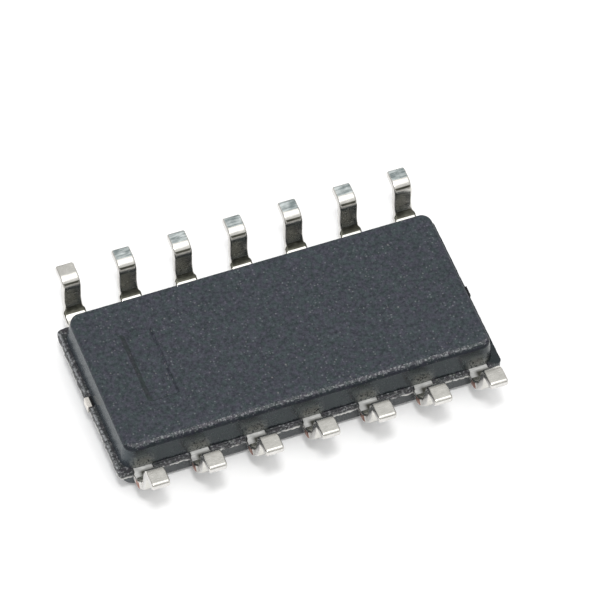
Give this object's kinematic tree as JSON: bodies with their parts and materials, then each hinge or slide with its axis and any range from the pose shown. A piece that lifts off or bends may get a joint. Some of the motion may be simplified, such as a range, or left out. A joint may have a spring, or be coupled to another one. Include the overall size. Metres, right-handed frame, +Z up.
{
  "type": "logic gate chip",
  "caption": "Small-outline logic chip lying on its marked face: drafted black resin body with a parting-line flange and bright gull-wing leads along both long sides, solder feet up.",
  "frame": {"origin": "middle of the marked face, on the surface that the chip lies on", "axes": "+X along the rows of leads, away from the recess end; +Y towards the row of leads 1 to 7; +Z up, out of the underside towards the solder feet"},
  "size_m": [0.0088, 0.006, 0.0017],
  "materials": {
    "mould_resin": "matt, fine-grained",
    "tin_plate": "satin tin plate",
    "lead_frame_copper": "bright copper alloy",
    "silver_epoxy": "matt, silver-filled",
    "silicon": "polished",
    "gold_wire": "bright gold"
  },
  "bodies": {
    "root": {"moulded_body": "mould_resin", "die_paddle": "lead_frame_copper", "die_attach": "silver_epoxy", "silicon_die": "silicon", "lead_01": "tin_plate", "lead_02": "tin_plate", "lead_03": "tin_plate", "lead_04": "tin_plate", "lead_05": "tin_plate", "lead_06": "tin_plate", "lead_07": "tin_plate", "lead_08": "tin_plate", "lead_09": "tin_plate", "lead_10": "tin_plate", "lead_11": "tin_plate", "lead_12": "tin_plate", "lead_13": "tin_plate", "lead_14": "tin_plate", "bond_wire_01": "gold_wire", "bond_wire_02": "gold_wire", "bond_wire_03": "gold_wire", "bond_wire_04": "gold_wire", "bond_wire_05": "gold_wire", "bond_wire_06": "gold_wire", "bond_wire_07": "gold_wire", "bond_wire_08": "gold_wire", "bond_wire_09": "gold_wire", "bond_wire_10": "gold_wire", "bond_wire_11": "gold_wire", "bond_wire_12": "gold_wire", "bond_wire_13": "gold_wire", "bond_wire_14": "gold_wire"}
  },
  "joints": []
}
